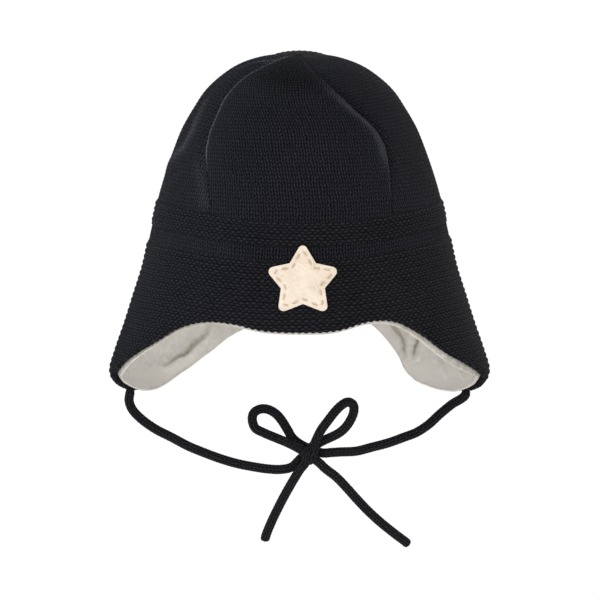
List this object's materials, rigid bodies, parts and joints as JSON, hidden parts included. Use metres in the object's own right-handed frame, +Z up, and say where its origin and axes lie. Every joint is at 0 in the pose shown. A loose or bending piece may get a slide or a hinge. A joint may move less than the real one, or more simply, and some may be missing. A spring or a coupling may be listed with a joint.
{
  "type": "baby winter hat",
  "caption": "Knitted baby winter hat with a gored crown, ribbed bands, ear flaps, a pale jersey lining, a star patch and chin ties in a bow.",
  "frame": {"origin": "inside of the lining at the top of the head hollow, where the head holds the hat", "axes": "+Z up, the wearer looks along -Y, +X is the wearer's left and the right of the front view"},
  "size_m": [0.1894, 0.1604, 0.2514],
  "materials": {
    "navy_knit": "matt stockinette knit",
    "navy_rib": "matt ribbed knit",
    "navy_cord": "knitted cord",
    "pale_jersey": "soft jersey",
    "cream_felt": "felt"
  },
  "bodies": {
    "root": {"crown_gore_front": "navy_knit", "crown_gore_right": "navy_knit", "crown_gore_back": "navy_knit", "crown_gore_left": "navy_knit", "ribbed_band": "navy_rib", "plain_band": "navy_knit", "ear_flap_brim": "navy_rib", "lining": "pale_jersey", "felt_patch": "cream_felt", "tie_strap_left": "navy_cord", "tie_strap_right": "navy_cord", "tie_loop_left": "navy_cord", "tie_loop_right": "navy_cord", "tie_tail_left": "navy_cord", "tie_tail_right": "navy_cord", "bow_knot": "navy_cord"}
  },
  "joints": []
}
